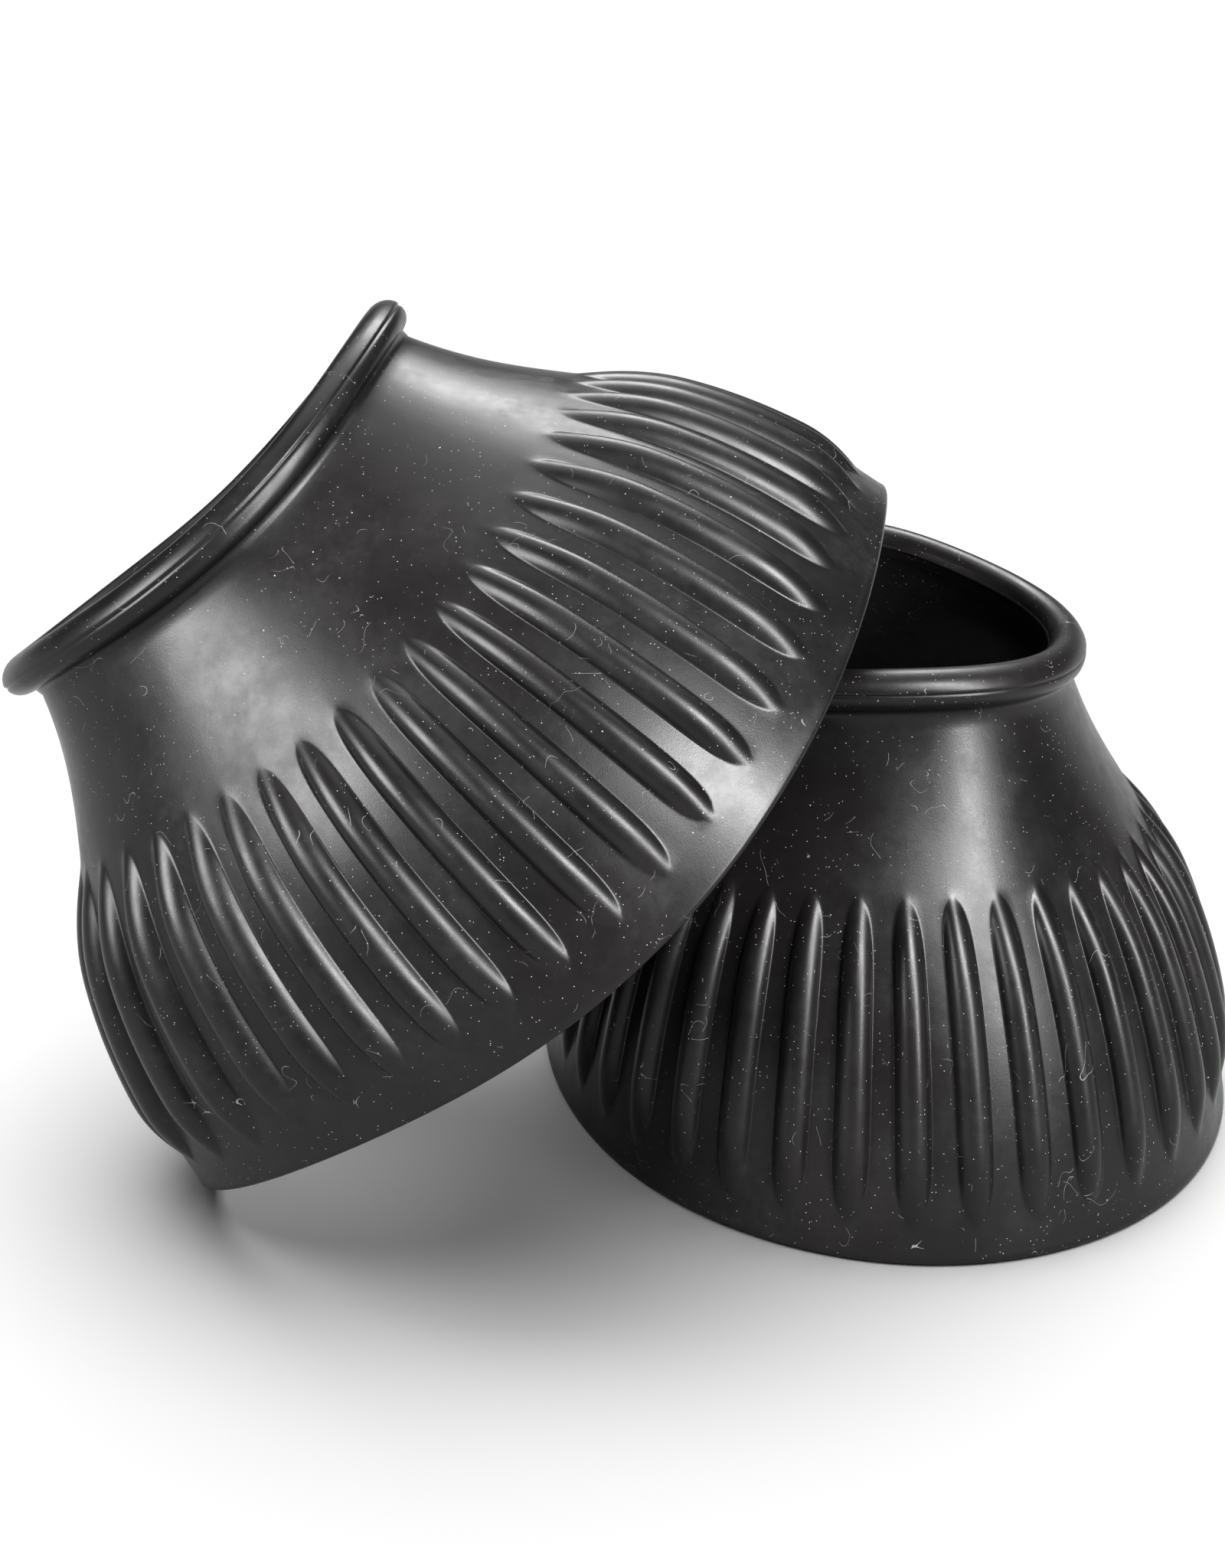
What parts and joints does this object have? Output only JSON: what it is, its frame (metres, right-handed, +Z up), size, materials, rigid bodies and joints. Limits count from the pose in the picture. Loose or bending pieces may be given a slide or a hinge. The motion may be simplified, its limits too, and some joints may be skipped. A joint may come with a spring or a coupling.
{
  "type": "pair of bell boots",
  "caption": "Pair of pull-on horse bell boots in ribbed black rubber, round rolled rims, one standing and one tipped over its shoulder and free to lift off.",
  "frame": {"origin": "on the floor, under the middle of the pair's box", "axes": "+Z up, +X from the leaning boot towards the standing boot, the pair's long way, +Y to the back"},
  "size_m": [0.2998, 0.2262, 0.1963],
  "materials": {
    "standing_rubber": "satin moulded black rubber, dusty from handling",
    "leaning_rubber": "satin moulded black rubber, dusty from handling"
  },
  "bodies": {
    "standing": {"standing_boot": "standing_rubber"},
    "leaning": {"leaning_boot": "leaning_rubber"}
  },
  "joints": [
    {"name": "lift_off", "type": "slide", "parent": "standing", "child": "leaning", "axis": [0, 0, 1], "range_m": [0, 0.25]}
  ]
}
